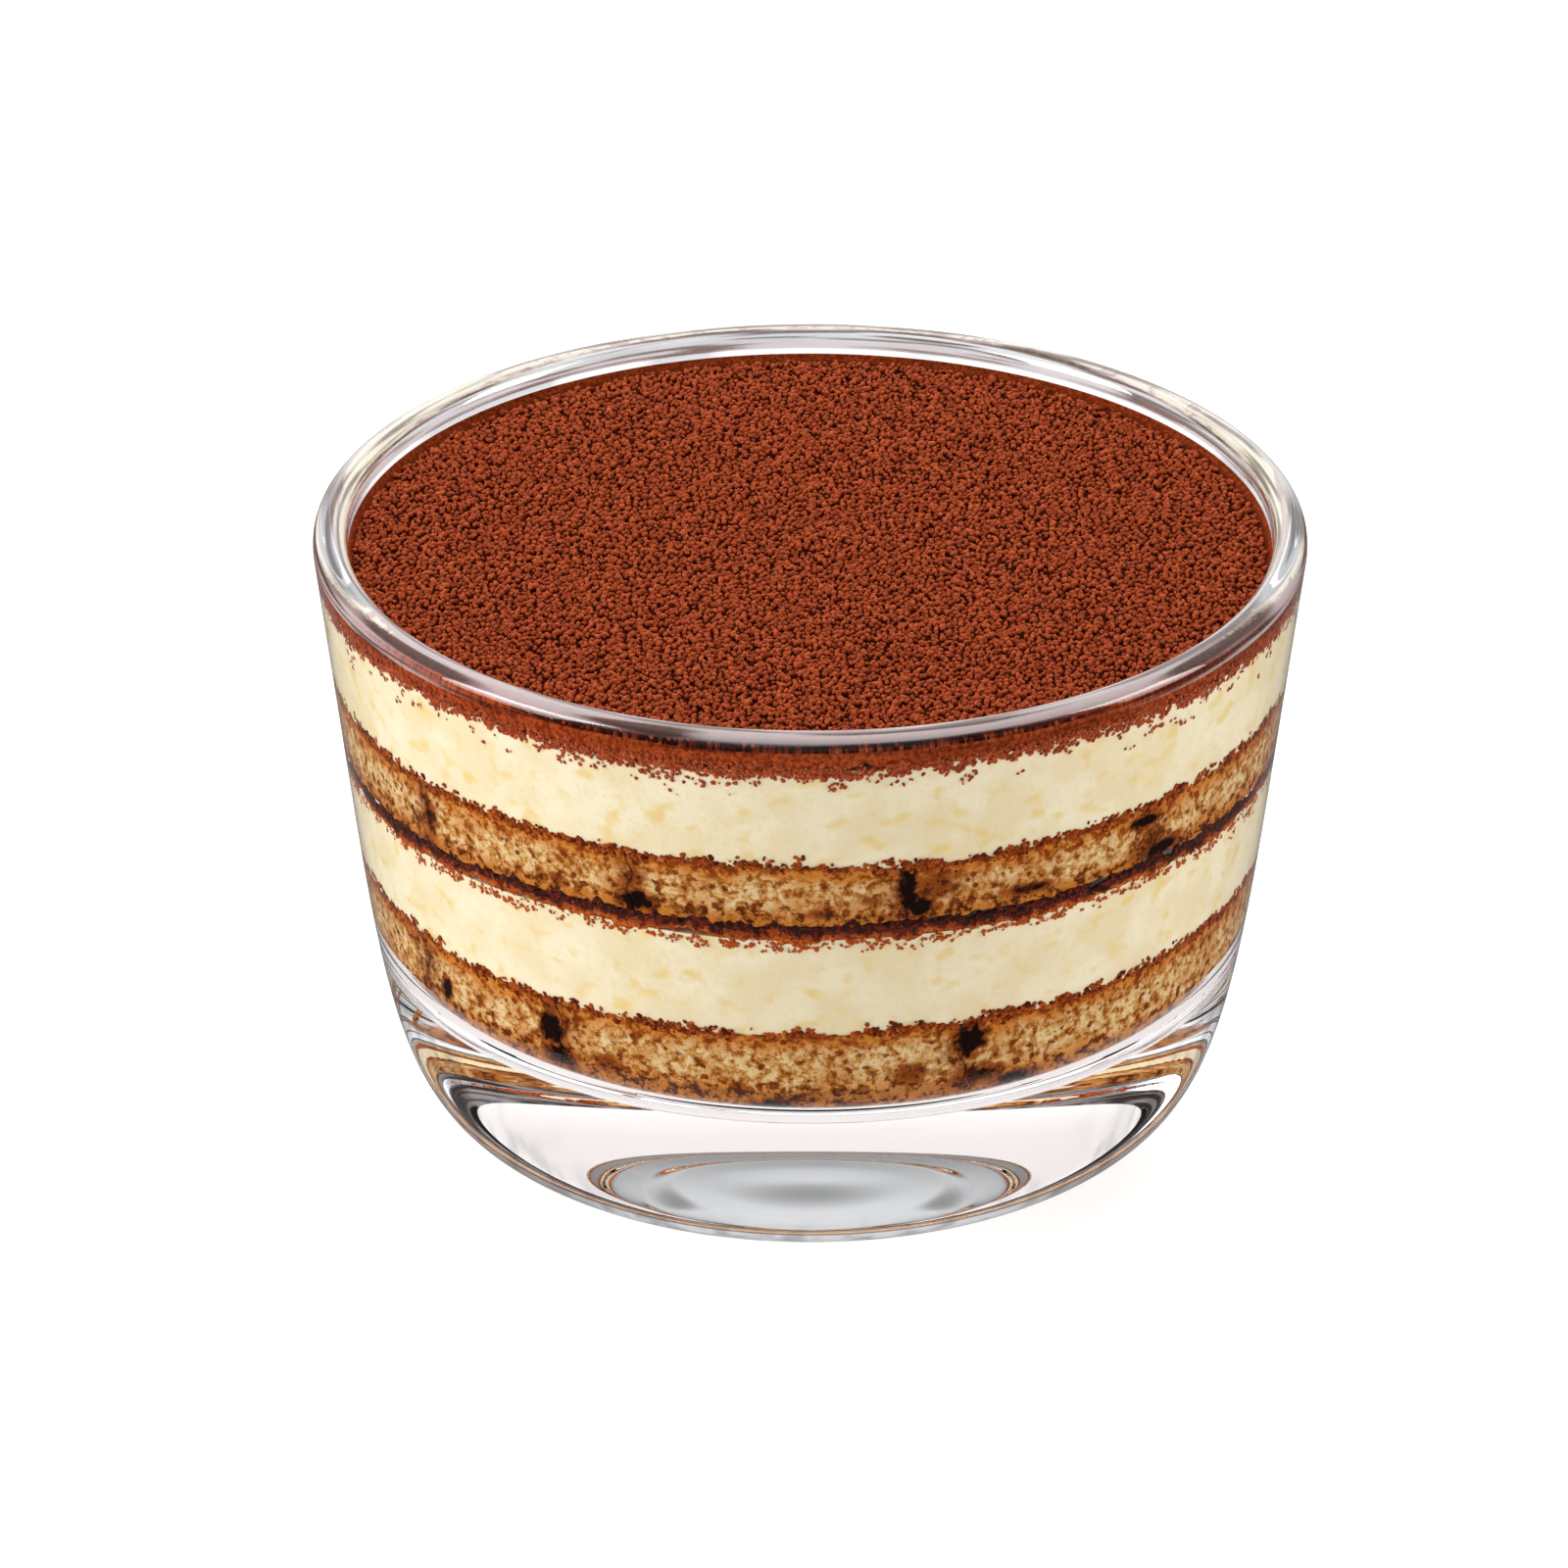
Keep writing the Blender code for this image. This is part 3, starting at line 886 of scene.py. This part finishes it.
def grid_faces(count):
    """The faces of a square grid of points."""
    corner = np.arange(count * count).reshape(count, count)
    a, b = corner[:-1, :-1].ravel(), corner[:-1, 1:].ravel()
    c, d = corner[1:, 1:].ravel(), corner[1:, :-1].ravel()
    return np.stack([a, b, c, d], 1).tolist()


def grid_rim(count):
    """The indices of a square grid's edge points, anticlockwise."""
    corner = np.arange(count * count).reshape(count, count)
    return np.concatenate(
        [corner[0, :-1], corner[:-1, -1], corner[-1, :0:-1], corner[:0:-1, 0]]
    )


def cocoa_height(points):
    """The height of the cocoa's soft bed at each point."""
    flat = np.asarray(points, float) * (1, 1, 0)
    return COCOA_TOP - 0.25 + 0.16 * rough(flat, 6.0, 11) + 0.14 * rough(flat, 1.5, 12)


cocoa = Finish("sifted_cocoa", Roughness=1.0, Specular_IOR_Level=0.05)
dust = cocoa.cloud(0.4, 2.0, 0.6)
drift = cocoa.cloud(7.0)
shade = cocoa.measure("shade")
powder = blend(step(dust, 0.3, 0.7), linear(158, 64, 36), linear(208, 104, 62))
powder = blend(step(drift, 0.4, 0.7) * 0.3, powder, linear(190, 88, 50))
# Painted shade: the bed, whose shade is 1, takes the dark colour that deepens the shade between
# the clumps; the clumps' shades differ at random
pits = blend(shade, powder, linear(66, 20, 9))
dusting = blend(step(dust, 0.35, 0.65), linear(134, 46, 16), linear(194, 86, 38))
cocoa.set("Base Color", blend(cocoa.measure("edge"), pits, dusting))
cocoa.bump(dust, 0.12)

disc = disc_grid(BED_COUNT)
top_reach = float(cavity_radius(COCOA_TOP, COCOA_REACH))
bed = np.column_stack([disc * top_reach, np.zeros(len(disc))])
bed[:, 2] = cocoa_height(bed) - 0.2 + 0.16 * rough(bed, 0.6, 13)
by_wall = np.clip(1 - (1 - np.hypot(*disc.T)) * top_reach / 1.0, 0, 1)
bed[:, 2] += by_wall**1.5 * (COCOA_TOP + DUST_RING - bed[:, 2])
rim = grid_rim(BED_COUNT)
faces = grid_faces(BED_COUNT)
rings = [bed[rim]]
rim_angle = np.arctan2(bed[rim, 1], bed[rim, 0])
for share in np.linspace(0.0, 1.0, 9)[1:]:
    x, y = top_reach * np.cos(rim_angle), top_reach * np.sin(rim_angle)
    edge = np.stack([x, y, x * 0], 1)
    drip = -0.2 + 0.9 * rough(edge, 1.6, 14) + 0.5 * rough(edge, 0.7, 15)
    low = over_upper_cream(x, y) - drip
    z = bed[rim, 2] + (low - bed[rim, 2]) * share
    r = cavity_radius(z, COCOA_REACH) - 0.4 * max(share * 4 - 3, 0)
    rings.append(np.stack([r * np.cos(rim_angle), r * np.sin(rim_angle), z], 1))
points = bed
previous = rim
for ring in rings[1:]:
    start = len(points)
    points = np.vstack([points, ring])
    after = np.arange(start, start + len(ring))
    for k in range(len(ring)):
        n = (k + 1) % len(ring)
        faces.append((previous[k], after[k], after[n], previous[n]))
    previous = after
centre = len(points)
points = np.vstack([points, [[0.0, 0.0, UPPER_CREAM_TOP]]])
for k in range(len(previous)):
    faces.append((previous[k], centre, previous[(k + 1) % len(previous)]))
faces = [tuple(int(i) for i in face) for face in faces]
edges = np.full(len(points), 1.0)
edges[: len(bed)] = by_wall
# The bed's shade of 1 paints it dark, a painted shade between the clumps
measures = {"shade": np.full(len(points), 1.0), "edge": edges * EDGE_DUST}
bed_piece = add_mesh("cocoa_bed", points, faces, cocoa, measures, 60)
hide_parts("cocoa_top")
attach(bed_piece, "root")


def grains(name, places, sizes, shades, finish, seed):
    """A joined mesh of small rough lumps, each at its own place, size and turn."""
    draw = np.random.default_rng(seed)
    ball = bmesh.new()
    bmesh.ops.create_icosphere(ball, subdivisions=1, radius=1.0)
    shape = np.array([v.co for v in ball.verts])
    sides = np.array([[v.index for v in f.verts] for f in ball.faces])
    ball.free()
    count = len(places)
    turn = draw.normal(size=(count, 3, 3))
    turn = np.linalg.qr(turn)[0]
    turn *= np.sign(np.linalg.det(turn))[:, None, None]
    stretch = draw.uniform(0.65, 1.25, (count, 1, 3))
    dent = draw.uniform(0.7, 1.2, (count, len(shape), 1))
    body = (shape[None] * dent * stretch) @ turn
    points = body * np.asarray(sizes)[:, None, None] + np.asarray(places)[:, None]
    faces = sides[None] + (np.arange(count) * len(shape))[:, None, None]
    shade = np.repeat(shades, len(shape))
    made = add_mesh(
        name, points.reshape(-1, 3), faces.reshape(-1, 3).tolist(), finish, {"shade": shade}
    )
    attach(made, "root")


def packed_places(spacing, reach, draw):
    """Places in even rows over the top, each moved a little at random."""
    row_step = spacing * math.sqrt(3) / 2
    rows = int(reach / row_step) + 1
    columns = int(reach / spacing) + 1
    row, column = np.meshgrid(np.arange(-rows, rows + 1), np.arange(-columns, columns + 1))
    x = (column + 0.5 * (row % 2)) * spacing
    places = np.stack([x.ravel(), (row * row_step).ravel()], 1)
    places += draw.uniform(-0.34, 0.34, places.shape) * spacing
    return places[np.hypot(*places.T) < reach]


draw = np.random.default_rng(21)
spots = packed_places(CLUMP_SPACING, float(cavity_radius(COCOA_TOP)) - 0.65, draw)
spots = np.column_stack([spots, np.zeros(len(spots))])
spots[:, 2] = cocoa_height(spots) + draw.uniform(-0.12, 0.2, len(spots))
sizes = draw.uniform(0.22, 0.35, len(spots))
shades = draw.uniform(0.0, 0.35, len(spots))
coarse = draw.random(len(spots)) >= 0.5
sizes[coarse] *= 1.1
for name, chosen, seed in (
    ("cocoa_clumps_fine", ~coarse, 31),
    ("cocoa_clumps_coarse", coarse, 32),
):
    grains(name, spots[chosen], sizes[chosen], shades[chosen], cocoa, seed)


# The crumbs on the wall
# Loose cocoa and crust crumbs cling to the glass along the edges of the layers, where the
# fingers were pressed in and where the cocoa was sifted down the side.

CRUMB_REACH = 0.3


def wall_grains(name, edge, spread, per_mm, sizes, shades, finish, seed):
    """Grains in little groups against the glass along a boundary, above and below it."""
    draw = np.random.default_rng(seed)
    radius = float(cavity_radius(40.0))
    girth = 2 * math.pi * radius
    count = int(girth * per_mm)
    cluster = draw.integers(0, count // 3, count)
    angles = draw.uniform(0, 2 * np.pi, count)[cluster] + draw.normal(0, 0.3 / radius, count)
    z = spread(draw, count)[cluster] + draw.normal(0, 0.18, count)
    z = z + edge(radius * np.cos(angles), radius * np.sin(angles))
    size = draw.uniform(*sizes, count)
    r = cavity_radius(z, CRUMB_REACH) - size * draw.uniform(0.5, 0.8, count)
    places = np.stack([r * np.cos(angles), r * np.sin(angles), z], 1)
    grains(name, places, size, draw.uniform(*shades, count), finish, seed + 1)


crumb_finish = Finish("crust_crumbs", Roughness=0.7, Specular_IOR_Level=0.05)
crumb_tone = crumb_finish.measure("shade")
crumb_finish.set("Base Color", blend(crumb_tone, linear(200, 96, 34), linear(78, 18, 6)))

for name, edge, seed in (
    ("upper_crust_crumbs", over_upper_sponge, 41),
    ("lower_crust_crumbs", over_lower_sponge, 43),
):
    wall_grains(
        name,
        edge,
        lambda draw, n: draw.normal(0.0, 0.3, n),
        13.0,
        (0.14, 0.42),
        (0.15, 1.0),
        crumb_finish,
        seed,
    )
wall_grains(
    "coffee_crumbs",
    over_lower_cream,
    lambda draw, n: draw.normal(-0.4, 0.35, n),
    11.0,
    (0.08, 0.24),
    (0.0, 0.35),
    crumb_finish,
    45,
)
wall_grains(
    "cocoa_side_clumps",
    level_at(COCOA_TOP),
    lambda draw, n: draw.uniform(-1.8, -0.5, n),
    14.0,
    (0.2, 0.38),
    (0.0, 0.5),
    cocoa,
    49,
)
wall_grains(
    "cocoa_specks",
    over_upper_cream,
    lambda draw, n: 0.5 - draw.exponential(0.6, n),
    20.0,
    (0.1, 0.28),
    (0.0, 0.4),
    cocoa,
    47,
)
